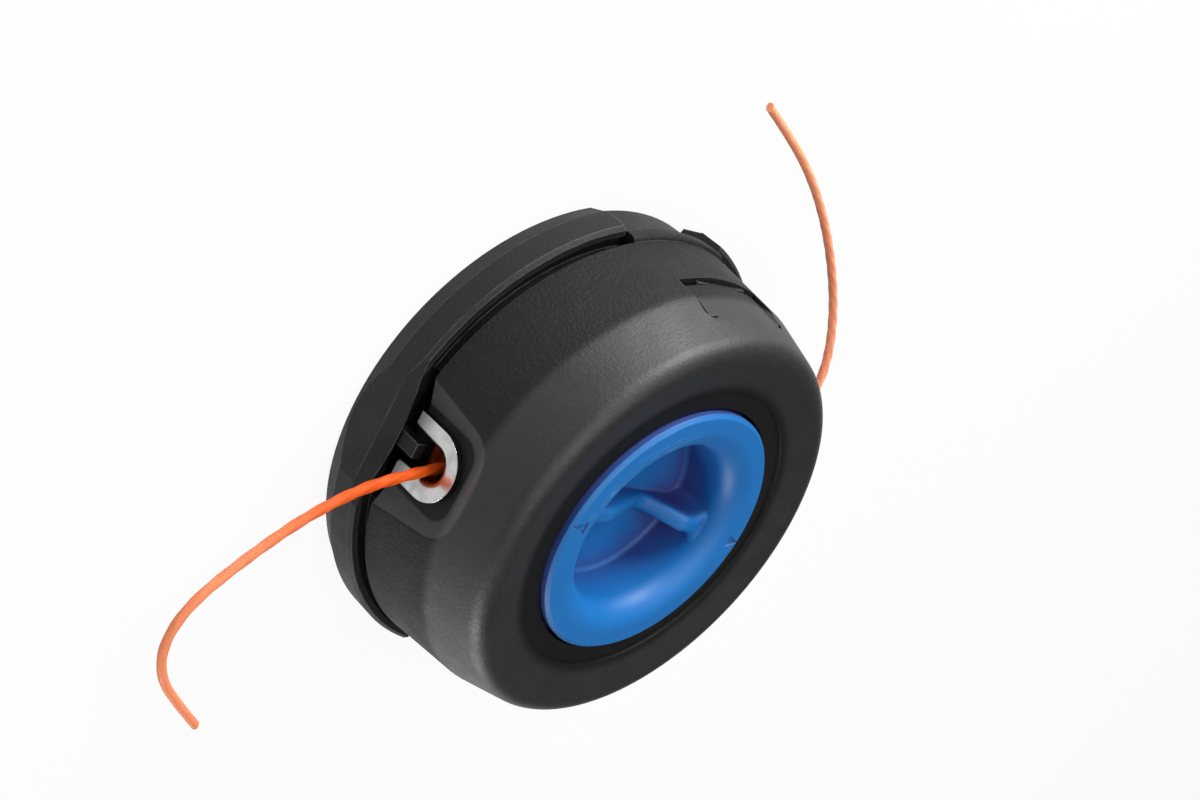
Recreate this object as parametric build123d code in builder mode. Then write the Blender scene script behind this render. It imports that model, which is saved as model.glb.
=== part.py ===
from build123d import *
import math
import os

os.makedirs("parts", exist_ok=True)

# Manual feed line trimmer head, in millimetres. +Z runs along the spindle towards the knob,
# the drive side's rim stands on z = 0, and the two line eyelets look along +X and -X.

# Clearances
running_clearance = 0.05
sliding_clearance = 0.3
seat_clearance = 0.2
spool_end_play = 0.3
cut_margin = 1.0

# Drive thread and its nut
thread_bore_radius = 4.4
nut_across_flats = 17.0
nut_length = 12.0
shaft_room_radius = 5.2
shaft_room_length = 5.5

# Drive housing
post_radius = 12.5
post_wall_above = 3.3
hub_radius = 15.0
hub_inset = 0.6
back_recess_depth = 4.0
plate_thickness = 3.0
rib_thickness = 2.0
rib_inset = 1.2
rib_count = 8
rim_wall = 3.7
ring_overhang = 2.5
ring_back_taper = 1.8
ring_line_height = 4.3
ring_line_step = 0.25
ring_lip_height = 1.8
ring_lip_gap = 0.4
ring_lip_chamfer = 0.8
seat_above_plate = 2.4
spigot_wall = 2.1
spigot_length = 7.0
flat_depth = 1.4
brow_width = 4.6
brow_arc_radius = 93.0
brow_half_length = 19.0
brow_front_drop = 1.7
brow_slope = 37.6
keeper_width = 3.2
keeper_depth = 2.3
keeper_rise = 3.3

# Latches, a quarter turn from the eyelets
latch_half_angle = 14.7
lug_half_angle = 16.6
latch_gap_half_angle = 17.6
latch_gap_depth = 0.5
latch_slot_rise = 12.5
latch_slot_width = 1.2
latch_slit_width = 0.5
latch_slit_straight = 8.9
latch_slit_hook = 2.6
latch_slit_hook_rise = 1.8
latch_pad_depth = 0.9
latch_pad_rise = 10.8
latch_arm_width = 20.0
latch_arm_thickness = 2.2
latch_arm_rise = 3.3
latch_nose_reach = 1.2
latch_nose_width = 16.0
lug_overhang = 1.1
lug_round = 1.3
lug_overlap = 0.3

# Spool and wound line
thrust_washer_thickness = 1.1
thrust_washer_width = 7.0
bearing_wall = 2.5
flange_thickness = 2.0
chamber_height = 7.9
core_wall = 3.3
winding_depth = 12.3
winding_clearance = 0.15
flange_margin = 3.5

# Return spring
spring_washer_thickness = 0.8
spring_washer_width = 4.4
spring_wire_radius = 0.75
spring_turns = 5.5
spring_end_gap = 0.1

# Knob
knob_radius = 29.7
knob_stand = 1.7
knob_chamfer = 0.8
knob_wall = 2.5
knob_rim_width = 7.1
knob_rim_thickness = 2.6
dish_depth = 14.8
dish_mouth_radius = 5.6
dish_floor_radius = 0.9
press_travel = 4.0
press_spare = 0.6
lock_flange_thickness = 2.8
lock_flange_overhang = 1.6
dog_count = 12
dog_height = 3.0
dog_width = 6.4
spline_count = 6
spline_height = 1.3
spline_width = 4.0
spline_length = 7.0
grip_turn = -3.6
bar_width = 3.9
bar_sag = 13.0
bar_end_sag = 4.6
bar_low_reach = 6.6
bar_steep_reach = 14.0
bar_gentle_reach = 12.5
bar_valley_radius = 3.5
bar_steep_radius = 3.0
bar_gentle_radius = 12.0
bar_flare = 4.0
bar_edge_radius = 1.3
arrow_width = 2.9
arrow_length = 4.0
arrow_inset = 0.3
arrow_depth = 0.4

# Bowl
bowl_wall = 2.4
bowl_gap = 2.3
knee_rise = 18.0
knee_draft = 1.9
shoulder_draft = 4.3
crest_rise = 2.9
knee_radius = 3.0
lip_radius = 4.2
lip_inner_run = 2.1
lip_inner_drop = 1.05
step_depth = 0.5
step_width = 4.4
step_edge_radius = 0.3
floor_thickness = 4.7
opening_gap = 0.7
lock_ring_wall = 2.7

# Eyelets and the recesses that they sit in
eyelet_rise = 7.7
eyelet_throat = 3.4
eyelet_wall = 1.8
eyelet_flange_radius = 7.5
eyelet_flange_thickness = 1.4
eyelet_flare = 1.6
eyelet_inner_round = 0.7
eyelet_leg_gap = 0.1
pad_clearance = 3.0
pad_thickness = 3.0
pad_half_width = 14.0
pad_rise = 20.0
recess_depth = 4.5
recess_half_width = 8.6
recess_rise = 16.0
recess_corner = 4.0
recess_mouth_corner = 11.5
recess_bevel_angle = 70.0

# Trimmer line, seen from the knob side. The points start inside the eyelet on +X, and the
# second route is turned half round to the other eyelet.
line_radius = 1.2
line_rise = 7.0
line_route_1 = [
    (43.0, 0.6),
    (52.0, 2.9),
    (62.5, 6.4),
    (73.0, 13.2),
    (83.0, 23.4),
    (90.4, 33.2),
    (91.9, 42.2),
    (88.6, 50.2),
    (81.5, 57.0),
    (74.4, 62.9),
]
line_route_2 = [
    (43.0, -0.5),
    (50.5, 2.9),
    (58.0, 9.0),
    (64.3, 17.2),
    (66.8, 26.8),
    (63.0, 36.0),
    (55.5, 46.0),
    (46.0, 55.6),
    (34.5, 65.2),
    (21.5, 74.0),
    (7.5, 81.2),
    (-6.8, 86.8),
]
bend_share = 0.45

# Heights, worked up from the resting rim
plate_top = back_recess_depth + plate_thickness
seat_height = plate_top + seat_above_plate
ring_front_height = seat_height + ring_lip_height
bowl_back_height = ring_front_height + bowl_gap
spigot_top = seat_height + spigot_length
washer_top = plate_top + thrust_washer_thickness
spool_bottom = washer_top + spool_end_play
web_top = spool_bottom + flange_thickness
spool_top = spool_bottom + 3 * flange_thickness + 2 * chamber_height
post_top = hub_inset + nut_length + shaft_room_length + post_wall_above
bearing_top = post_top + seat_clearance
lock_bottom = spool_top + press_spare + press_travel
lock_top = lock_bottom + lock_flange_thickness
floor_underside = lock_top + seat_clearance
step_floor_height = floor_underside + floor_thickness
step_edge_height = step_floor_height + step_depth
corner_height = step_edge_height + crest_rise
lock_ring_bottom = lock_bottom - press_travel + lock_flange_thickness + press_spare
knob_top = step_floor_height + knob_stand
dish_floor = knob_top - dish_depth
cup_bottom = dish_floor - knob_wall
knee_height = bowl_back_height + knee_rise
eyelet_height = bowl_back_height + eyelet_rise
line_height = bowl_back_height + line_rise
slot_bottom = bowl_back_height + latch_slot_rise
slot_top = slot_bottom + latch_slot_width
pad_top = slot_top + latch_pad_rise
lug_bottom = seat_height + seat_clearance
eyelet_foot = bowl_back_height + eyelet_leg_gap

# Radii, worked outwards from the centre post and the knob
cup_radius = knob_radius - knob_rim_width
bearing_bore_radius = post_radius + running_clearance
bearing_radius = bearing_bore_radius + bearing_wall
core_bore_radius = cup_radius + sliding_clearance
core_radius = core_bore_radius + core_wall
winding_radius = core_radius + winding_depth
flange_radius = winding_radius + flange_margin
spring_washer_inner = bearing_radius + sliding_clearance
spring_radius = spring_washer_inner + spring_washer_width / 2
pad_inner = flange_radius + pad_clearance
recess_floor = pad_inner + pad_thickness
bowl_radius = recess_floor + recess_depth
bowl_inner_radius = bowl_radius - bowl_wall
ring_radius = bowl_radius + ring_overhang
ring_back_radius = ring_radius - ring_back_taper
rim_inner_radius = ring_back_radius - rim_wall
ring_lip_inner = bowl_radius + ring_lip_gap
spigot_taper = knee_draft * (spigot_top - bowl_back_height) / knee_rise
spigot_radius = bowl_inner_radius - spigot_taper - seat_clearance
spigot_inner_radius = spigot_radius - spigot_wall
knee_outer_radius = bowl_radius - knee_draft
corner_radius = knee_outer_radius - shoulder_draft
opening_radius = knob_radius + opening_gap
step_radius = opening_radius + step_width
lock_flange_radius = opening_radius + lock_flange_overhang
lock_ring_inner = lock_flange_radius + sliding_clearance
dog_radius = lock_flange_radius + dog_height
notch_radius = dog_radius + sliding_clearance
lock_ring_radius = notch_radius + lock_ring_wall
dish_radius = cup_radius - knob_wall
rim_hollow_radius = knob_radius - knob_wall
lug_radius = bowl_radius + lug_overhang
recess_mouth = recess_depth + cut_margin
recess_bevel_width = recess_mouth * math.tan(math.radians(recess_bevel_angle))


def wedge(half_angle, reach):
    """Draw a wedge from the axis along local X, half_angle to either side."""
    half_width = reach * math.tan(math.radians(half_angle))
    Polygon((0, 0), (reach, -half_width), (reach, half_width), align=None)


def arch(half_width, centre, foot):
    """Draw an upright arch: a half round of half_width at centre, on legs down to foot."""
    with Locations((0, centre)):
        Circle(half_width)
    with Locations((0, (centre + foot) / 2)):
        Rectangle(2 * half_width, centre - foot)


def round_corner(section, corner, radius):
    """Round the corner of a section that lies at the given point."""
    fillet(section.vertices().sort_by_distance(corner)[0], radius)


def section_plane(turn):
    """Return the upright plane through the axis, turned from X by the given angle."""
    angle = math.radians(turn)
    outwards = (math.cos(angle), math.sin(angle), 0)
    normal = (math.sin(angle), -math.cos(angle), 0)
    return Plane(origin=(0, 0, 0), x_dir=outwards, z_dir=normal)


def eyelet_plane(turn, reach):
    """Return the upright plane across an eyelet, reach out from the axis and facing outwards."""
    section = section_plane(turn)
    return Plane(origin=section.x_dir * reach, x_dir=section.z_dir * -1, z_dir=section.x_dir)


def bowl_outer_radius(height):
    """Return the radius of the bowl's outer face at a height under the lip."""
    if height < knee_height:
        return bowl_radius - knee_draft * (height - bowl_back_height) / knee_rise
    rise = corner_height - knee_height
    return knee_outer_radius - shoulder_draft * (height - knee_height) / rise


# Hex nut that takes the machine's output thread
with BuildPart() as hub_nut:
    with BuildSketch(Plane.XY.offset(hub_inset)):
        RegularPolygon(nut_across_flats / 2, 6, major_radius=False)
        Circle(thread_bore_radius, mode=Mode.SUBTRACT)
    extrude(amount=nut_length)
hub_nut.part.label = "hub_nut"
export_step(hub_nut.part, "parts/hub_nut.step")


# Drive housing: ring, ribbed back, hub, centre post, bowl spigot and latch arms
latch_arm_inner = flange_radius + pad_clearance - seat_clearance
latch_nose_radius = bowl_outer_radius(slot_bottom) - bowl_wall + latch_nose_reach
nose_bottom = slot_bottom + seat_clearance
nose_top = slot_top - seat_clearance
arm_top = slot_top + latch_arm_rise
brow_inner = ring_radius - brow_width
brow_root_radius = (ring_lip_inner + ring_radius) / 2
flat_edge_height = ring_front_height - brow_front_drop
brow_tilt = math.tan(math.radians(brow_slope))
brow_cut_front = flat_edge_height + brow_tilt * (brow_width - flat_depth + cut_margin)
brow_cut_back = flat_edge_height - brow_tilt * (flat_depth + cut_margin)

with BuildPart() as drive_housing:
    with BuildSketch(Plane.XZ):
        with BuildLine():
            Polyline(
                (0, hub_inset),
                (hub_radius, hub_inset),
                (hub_radius, back_recess_depth),
                (rim_inner_radius, back_recess_depth),
                (rim_inner_radius, 0),
                (ring_back_radius, 0),
                (ring_radius - ring_line_step, ring_line_height),
                (ring_radius, ring_line_height + ring_line_step),
                (ring_radius, ring_front_height - ring_lip_chamfer),
                (ring_radius - ring_lip_chamfer, ring_front_height),
                (ring_lip_inner, ring_front_height),
                (ring_lip_inner, seat_height),
                (spigot_radius, seat_height),
                (spigot_radius, spigot_top),
                (spigot_inner_radius, spigot_top),
                (spigot_inner_radius, plate_top),
                (post_radius, plate_top),
                (post_radius, post_top),
                (0, post_top),
                close=True,
            )
        make_face()
    revolve(axis=Axis.Z)

    # The ring steps in at the two latches
    with BuildSketch(Plane.XY):
        with PolarLocations(0, 2, start_angle=90):
            wedge(latch_gap_half_angle, 2 * ring_radius)
        Circle(bowl_radius - latch_gap_depth, mode=Mode.SUBTRACT)
    extrude(amount=ring_front_height, mode=Mode.SUBTRACT)

    # The spigot gives way to the eyelets
    with BuildSketch(Plane.XY.offset(seat_height)):
        with PolarLocations((pad_inner + spigot_radius) / 2, 2):
            Rectangle(spigot_radius - pad_inner + 2 * cut_margin, 2 * (pad_half_width + cut_margin))
    extrude(amount=spigot_length, mode=Mode.SUBTRACT)

    # A lens-shaped brow on the ring closes each eyelet from behind and slopes outwards
    with BuildSketch(Plane.XY.offset(seat_height - seat_clearance)):
        with PolarLocations(brow_inner + brow_arc_radius, 2):
            Circle(brow_arc_radius)
        Circle(brow_root_radius, mode=Mode.INTERSECT)
    extrude(amount=bowl_back_height - seat_height)
    for turn in (0, 180):
        with BuildSketch(section_plane(turn)):
            with BuildLine():
                Polyline(
                    (brow_inner - cut_margin, bowl_back_height),
                    (brow_inner - cut_margin, brow_cut_front),
                    (ring_radius + cut_margin, brow_cut_back),
                    (ring_radius + cut_margin, bowl_back_height),
                    close=True,
                )
            make_face()
        extrude(amount=brow_half_length, both=True, mode=Mode.SUBTRACT)

    # A keeper stands between the legs of each eyelet
    with BuildSketch(Plane.XY.offset(seat_height - seat_clearance)):
        with PolarLocations(spigot_inner_radius + keeper_depth / 2, 2):
            Rectangle(keeper_depth, keeper_width)
    extrude(amount=bowl_back_height + keeper_rise - seat_height + seat_clearance)

    # The ring is flattened in front of each eyelet
    with BuildSketch(Plane.XY):
        with PolarLocations(2 * ring_radius - flat_depth, 2):
            Rectangle(2 * ring_radius, 2 * ring_radius)
    extrude(amount=bowl_back_height, mode=Mode.SUBTRACT)

    # Sprung latch arms, whose noses catch in the bowl's slots
    with BuildSketch(Plane.XY.offset(plate_top - seat_clearance)):
        with PolarLocations(latch_arm_inner + latch_arm_thickness / 2, 2, start_angle=90):
            Rectangle(latch_arm_thickness, latch_arm_width)
    extrude(amount=arm_top - plate_top + seat_clearance)
    with BuildSketch(Plane.XY.offset(nose_bottom)):
        with PolarLocations((latch_arm_inner + latch_nose_radius) / 2, 2, start_angle=90):
            Rectangle(latch_nose_radius - latch_arm_inner, latch_nose_width)
    extrude(amount=nose_top - nose_bottom)

    # Ribs on the recessed back
    with BuildSketch(Plane.XY.offset(rib_inset)):
        with PolarLocations((hub_radius + rim_inner_radius) / 2, rib_count, start_angle=180 / rib_count):
            Rectangle(rim_inner_radius - hub_radius + cut_margin, rib_thickness)
    extrude(amount=back_recess_depth - rib_inset)

    # Pocket for the nut, and room for the end of the machine's shaft
    with BuildSketch(Plane.XY.offset(hub_inset)):
        RegularPolygon(nut_across_flats / 2, 6, major_radius=False)
    extrude(amount=nut_length, mode=Mode.SUBTRACT)
    with BuildSketch(Plane.XY.offset(hub_inset + nut_length)):
        Circle(shaft_room_radius)
    extrude(amount=shaft_room_length, mode=Mode.SUBTRACT)
drive_housing.part.label = "drive_housing"
export_step(drive_housing.part, "parts/drive_housing.step")


# The bowl's inside, with the pads behind the eyelets left standing
ceiling_height = step_edge_height - bowl_wall + seat_clearance
shoulder_inner = corner_radius - lip_inner_run
shoulder_top = corner_height - bowl_wall - lip_inner_drop
with BuildPart() as bowl_inside:
    with BuildSketch(Plane.XZ):
        with BuildLine():
            Polyline(
                (opening_radius - cut_margin, bowl_back_height - cut_margin),
                (opening_radius - cut_margin, floor_underside),
                (lock_ring_inner, floor_underside),
                (lock_ring_inner, lock_ring_bottom),
                (lock_ring_radius, lock_ring_bottom),
                (lock_ring_radius, ceiling_height),
                (shoulder_inner, shoulder_top),
                (knee_outer_radius - bowl_wall, knee_height),
                (bowl_inner_radius, bowl_back_height),
                (bowl_inner_radius, bowl_back_height - cut_margin),
                close=True,
            )
        make_face()
    revolve(axis=Axis.Z)
    with BuildSketch(Plane.XY.offset(bowl_back_height - cut_margin)):
        with PolarLocations(pad_inner + bowl_radius / 2, 2):
            Rectangle(bowl_radius, 2 * pad_half_width)
    extrude(amount=pad_rise + cut_margin, mode=Mode.SUBTRACT)


# Bowl: one moulding with the knob's opening, the lock ring, eyelet recesses and latch tongues
slit_offset = bowl_outer_radius(slot_top) * math.sin(math.radians(latch_half_angle))
slit_bend = slot_bottom + latch_slit_straight

with BuildPart() as bowl_cover:
    with BuildSketch(Plane.XZ) as bowl_section:
        with BuildLine():
            Polyline(
                (opening_radius, bowl_back_height),
                (bowl_radius, bowl_back_height),
                (knee_outer_radius, knee_height),
                (corner_radius, corner_height),
                (step_radius, step_edge_height),
                (step_radius, step_floor_height),
                (opening_radius, step_floor_height),
                close=True,
            )
        make_face()
        round_corner(bowl_section, (knee_outer_radius, knee_height), knee_radius)
        round_corner(bowl_section, (corner_radius, corner_height), lip_radius)
        round_corner(bowl_section, (step_radius, step_edge_height), step_edge_radius)
    revolve(axis=Axis.Z)
    add(bowl_inside.part, mode=Mode.SUBTRACT)

    # Notches of the lock ring, one for each dog of the knob
    with BuildSketch(Plane.XY.offset(lock_ring_bottom)):
        with PolarLocations((opening_radius + notch_radius) / 2, dog_count):
            Rectangle(notch_radius - opening_radius, dog_width + 2 * sliding_clearance)
    extrude(amount=floor_underside - lock_ring_bottom, mode=Mode.SUBTRACT)

    # Bevelled recess and through window of each eyelet
    for turn in (0, 180):
        with BuildSketch(eyelet_plane(turn, recess_floor)):
            with Locations((0, bowl_back_height)):
                RectangleRounded(2 * recess_half_width, 2 * recess_rise, recess_corner)
        with BuildSketch(eyelet_plane(turn, recess_floor + recess_mouth)):
            with Locations((0, bowl_back_height)):
                RectangleRounded(
                    2 * (recess_half_width + recess_bevel_width),
                    2 * (recess_rise + recess_bevel_width),
                    recess_mouth_corner,
                )
        loft(mode=Mode.SUBTRACT)
        with BuildSketch(eyelet_plane(turn, pad_inner)):
            arch(eyelet_throat + eyelet_wall + eyelet_leg_gap, eyelet_height, bowl_back_height - cut_margin)
        extrude(amount=recess_depth, mode=Mode.SUBTRACT)

    # Thumb rest, slot and slits that free each latch tongue on three sides
    for quarter in (90, 270):
        with BuildSketch(section_plane(quarter - latch_half_angle)):
            with BuildLine():
                Polyline(
                    (bowl_outer_radius(slot_top) - latch_pad_depth, slot_top),
                    (knee_outer_radius - latch_pad_depth, knee_height),
                    (bowl_outer_radius(pad_top), pad_top),
                    (bowl_radius, pad_top),
                    (bowl_radius, slot_top),
                    close=True,
                )
            make_face()
        revolve(axis=Axis.Z, revolution_arc=2 * latch_half_angle, mode=Mode.SUBTRACT)
        with BuildSketch(eyelet_plane(quarter, latch_arm_inner)):
            with BuildLine():
                for side in (1, -1):
                    slit = Line((side * slit_offset, slot_bottom), (side * slit_offset, slit_bend))
                    hook_end = (side * (slit_offset - latch_slit_hook), slit_bend + latch_slit_hook_rise)
                    TangentArc(slit @ 1, hook_end, tangent=slit % 1)
            trace(line_width=latch_slit_width)
        extrude(amount=bowl_radius - latch_arm_inner, mode=Mode.SUBTRACT)
    with BuildSketch(Plane.XY.offset(slot_bottom)):
        with PolarLocations(0, 2, start_angle=90):
            wedge(latch_half_angle, 2 * bowl_radius)
        Circle(latch_arm_inner, mode=Mode.SUBTRACT)
    extrude(amount=latch_slot_width, mode=Mode.SUBTRACT)

    # Lugs that drop into the gaps of the ring
    for quarter in (90, 270):
        with BuildSketch(section_plane(quarter - lug_half_angle)) as lug_section:
            with BuildLine():
                Polyline(
                    (bowl_inner_radius, lug_bottom),
                    (lug_radius, lug_bottom),
                    (lug_radius, bowl_back_height),
                    (bowl_radius - lug_overlap, bowl_back_height),
                    (bowl_radius - lug_overlap, bowl_back_height + lug_overlap),
                    (bowl_inner_radius, bowl_back_height + lug_overlap),
                    close=True,
                )
            make_face()
            fillet(lug_section.vertices().group_by(Axis.X)[-1], lug_round)
        revolve(axis=Axis.Z, revolution_arc=2 * lug_half_angle)
bowl_cover.part.label = "bowl_cover"
export_step(bowl_cover.part, "parts/bowl_cover.step")


def is_throat_edge(edge):
    """Tell whether an edge of an eyelet's face runs round its throat."""
    middle = edge.center()
    inside = abs(middle.Y) < eyelet_throat + eyelet_leg_gap
    return inside and middle.Z < eyelet_height + eyelet_throat + eyelet_leg_gap


# Metal eyelets: an arch with a flange outside and a flared throat
for number, turn in ((1, 0), (2, 180)):
    with BuildPart() as eyelet:
        with BuildSketch(eyelet_plane(turn, pad_inner)):
            arch(eyelet_throat + eyelet_wall, eyelet_height, eyelet_foot)
        extrude(amount=pad_thickness)
        with BuildSketch(eyelet_plane(turn, recess_floor)):
            arch(eyelet_flange_radius, eyelet_height, eyelet_foot)
        extrude(amount=eyelet_flange_thickness)
        with BuildSketch(eyelet_plane(turn, pad_inner)):
            arch(eyelet_throat, eyelet_height, eyelet_foot)
        extrude(amount=pad_thickness + eyelet_flange_thickness, mode=Mode.SUBTRACT)
        outwards = Axis((0, 0, 0), section_plane(turn).x_dir)
        mouth_edges = eyelet.faces().sort_by(outwards)[-1].edges()
        fillet(mouth_edges.filter_by(is_throat_edge), eyelet_flare)
        back_edges = eyelet.faces().sort_by(outwards)[0].edges()
        fillet(back_edges.filter_by(is_throat_edge), eyelet_inner_round)
    eyelet.part.label = f"eyelet_{number}"
    export_step(eyelet.part, f"parts/eyelet_{number}.step")


# Spool with two chambers, turning on the centre post
mid_flange = web_top + chamber_height
with BuildPart() as spool:
    with BuildSketch(Plane.XZ):
        with BuildLine():
            Polyline(
                (bearing_bore_radius, spool_bottom),
                (flange_radius, spool_bottom),
                (flange_radius, web_top),
                (core_radius, web_top),
                (core_radius, mid_flange),
                (flange_radius, mid_flange),
                (flange_radius, mid_flange + flange_thickness),
                (core_radius, mid_flange + flange_thickness),
                (core_radius, spool_top - flange_thickness),
                (flange_radius, spool_top - flange_thickness),
                (flange_radius, spool_top),
                (core_bore_radius, spool_top),
                (core_bore_radius, web_top),
                (bearing_radius, web_top),
                (bearing_radius, bearing_top),
                (bearing_bore_radius, bearing_top),
                close=True,
            )
        make_face()
    revolve(axis=Axis.Z)
    with BuildSketch(Plane.XY.offset(web_top)):
        with PolarLocations(cup_radius + spline_height / 2, spline_count):
            Rectangle(spline_height + 2 * sliding_clearance, spline_width + 2 * sliding_clearance)
    extrude(amount=spool_top - web_top, mode=Mode.SUBTRACT)
spool.part.label = "spool"
export_step(spool.part, "parts/spool.step")


# Line wound in the two chambers
for name, chamber_bottom in (("winding_lower", web_top), ("winding_upper", mid_flange + flange_thickness)):
    with BuildPart() as winding:
        with BuildSketch(Plane.XY.offset(chamber_bottom + winding_clearance)):
            Circle(winding_radius)
            Circle(core_radius + winding_clearance, mode=Mode.SUBTRACT)
        extrude(amount=chamber_height - 2 * winding_clearance)
        rims = winding.edges().filter_by(GeomType.CIRCLE).sort_by(SortBy.RADIUS)[-2:]
        fillet(rims, line_radius)
    winding.part.label = name
    export_step(winding.part, f"parts/{name}.step")


# Thrust washer between the drive housing and the spool
with BuildPart() as thrust_washer:
    with BuildSketch(Plane.XY.offset(plate_top)):
        Circle(post_radius + thrust_washer_width)
        Circle(post_radius + seat_clearance, mode=Mode.SUBTRACT)
    extrude(amount=thrust_washer_thickness)
thrust_washer.part.label = "thrust_washer"
export_step(thrust_washer.part, "parts/thrust_washer.step")


# Washer that the spring stands on
with BuildPart() as spring_washer:
    with BuildSketch(Plane.XY.offset(web_top)):
        Circle(spring_washer_inner + spring_washer_width)
        Circle(spring_washer_inner, mode=Mode.SUBTRACT)
    extrude(amount=spring_washer_thickness)
spring_washer.part.label = "spring_washer"
export_step(spring_washer.part, "parts/spring_washer.step")


# Return spring under the knob's cup
spring_bottom = web_top + spring_washer_thickness + spring_wire_radius + spring_end_gap
spring_height = cup_bottom - spring_wire_radius - spring_end_gap - spring_bottom
with BuildPart() as return_spring:
    with BuildLine() as spring_path:
        Helix(spring_height / spring_turns, spring_height, spring_radius, center=(0, 0, spring_bottom))
    with BuildSketch(Plane(origin=spring_path.line @ 0, z_dir=spring_path.line % 0)):
        Circle(spring_wire_radius)
    sweep(is_frenet=True)
return_spring.part.label = "return_spring"
export_step(return_spring.part, "parts/return_spring.step")


# Grip bar across the knob's dish, with a finger dip and flared ends
bar_reach = dish_radius + knob_wall / 2
bar_foot = dish_floor - knob_wall / 2
bar_end_height = knob_top - bar_end_sag
bar_dip = (-bar_low_reach, knob_top - bar_sag)
bar_steep_top = (-bar_steep_reach, bar_end_height)
bar_gentle_top = (bar_gentle_reach, bar_end_height)
grip_plane = Plane.XY.offset(bar_foot).rotated((0, 0, grip_turn))


def is_crown_edge(edge):
    """Tell whether an edge runs along the top of the grip bar or up its side."""
    middle = grip_plane.to_local_coords(edge.center())
    return middle.Z > bar_edge_radius and abs(middle.Y) > bar_width / 4


with BuildPart() as grip_bar:
    with BuildSketch(section_plane(grip_turn)) as bar_section:
        with BuildLine():
            Polyline(
                (-bar_reach, bar_foot),
                (-bar_reach, bar_end_height),
                bar_steep_top,
                bar_dip,
                bar_gentle_top,
                (bar_reach, bar_end_height),
                (bar_reach, bar_foot),
                close=True,
            )
        make_face()
        round_corner(bar_section, bar_dip, bar_valley_radius)
        round_corner(bar_section, bar_steep_top, bar_steep_radius)
        round_corner(bar_section, bar_gentle_top, bar_gentle_radius)
    extrude(amount=bar_reach, both=True)
    with BuildSketch(grip_plane):
        Rectangle(2 * bar_reach, bar_width + 2 * bar_flare)
        for side in (1, -1):
            with Locations((0, side * (bar_width / 2 + 2 * bar_flare))):
                RectangleRounded(2 * dish_radius, 4 * bar_flare, bar_flare, mode=Mode.SUBTRACT)
    extrude(amount=knob_top - bar_foot, mode=Mode.INTERSECT)
    crown_edges = grip_bar.edges().filter_by(is_crown_edge).filter_by(Axis.Z, reverse=True)
    fillet(crown_edges, bar_edge_radius)


# Knob: a dished cup with a grip bar, a lock flange with dogs, and splines for the spool
hollow_top = knob_top - knob_rim_thickness
mouth_height = knob_top - dish_mouth_radius
with BuildPart() as knob:
    with BuildSketch(Plane.XZ) as knob_section:
        with BuildLine():
            Polyline(
                (0, cup_bottom),
                (cup_radius, cup_bottom),
                (cup_radius, mouth_height),
                (cup_radius + knob_wall, hollow_top),
                (rim_hollow_radius, hollow_top),
                (rim_hollow_radius, lock_bottom),
                (lock_flange_radius, lock_bottom),
                (lock_flange_radius, lock_top),
                (knob_radius, lock_top),
                (knob_radius, knob_top - knob_chamfer),
                (knob_radius - knob_chamfer, knob_top),
                (dish_radius, knob_top),
                (dish_radius, dish_floor),
                (0, dish_floor),
                close=True,
            )
        make_face()
        round_corner(knob_section, (dish_radius, knob_top), dish_mouth_radius)
        round_corner(knob_section, (dish_radius, dish_floor), dish_floor_radius)
    revolve(axis=Axis.Z)
    add(grip_bar.part)
    with BuildSketch(Plane.XY.offset(lock_bottom)):
        with PolarLocations((knob_radius + dog_radius) / 2, dog_count):
            Rectangle(dog_radius - knob_radius, dog_width)
    extrude(amount=lock_flange_thickness)
    with BuildSketch(Plane.XY.offset(cup_bottom)):
        with PolarLocations(cup_radius, spline_count):
            Rectangle(2 * spline_height, spline_width)
        Circle(dish_radius + knob_wall / 2, mode=Mode.SUBTRACT)
    extrude(amount=spline_length)

    # Arrow marks at the two ends of the grip bar
    with BuildSketch(Plane.XY.offset(knob_top)):
        with PolarLocations(knob_radius - arrow_inset - arrow_length, 2, start_angle=grip_turn):
            Polygon((0, -arrow_width / 2), (arrow_length, 0), (0, arrow_width / 2), align=None)
    extrude(amount=-arrow_depth, mode=Mode.SUBTRACT)
knob.part.label = "knob"
export_step(knob.part, "parts/knob.step")


def bend_radii(points):
    """Return the largest fair radius at each inner point of a route."""
    radii = []
    for before, here, after in zip(points, points[1:], points[2:]):
        run_in = here - before
        run_out = after - here
        half_turn = math.radians(run_in.get_angle(run_out)) / 2
        radii.append(bend_share * min(run_in.length, run_out.length) / math.tan(half_turn))
    return radii


# Free ends of the trimmer line
for number, route, turn in ((1, line_route_1, 1), (2, line_route_2, -1)):
    points = [Vector(turn * x, turn * y, line_height) for x, y in route]
    radii = bend_radii(points)
    with BuildPart() as line_end:
        with BuildLine() as line_path:
            FilletPolyline(*points, radius=radii)
        with BuildSketch(Plane(origin=points[0], z_dir=points[1] - points[0])):
            Circle(line_radius)
        sweep()
    length = line_path.wires()[0].length
    volume_ratio = line_end.part.volume / (math.pi * line_radius**2 * length)
    print(f"line_end_{number} radii", [round(radius, 1) for radius in radii])
    print(f"line_end_{number} length", round(length, 1), "volume ratio", round(volume_ratio, 4))
    line_end.part.label = f"line_end_{number}"
    export_step(line_end.part, f"parts/line_end_{number}.step")
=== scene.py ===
import math

import bpy
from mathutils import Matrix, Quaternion, Vector


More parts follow.
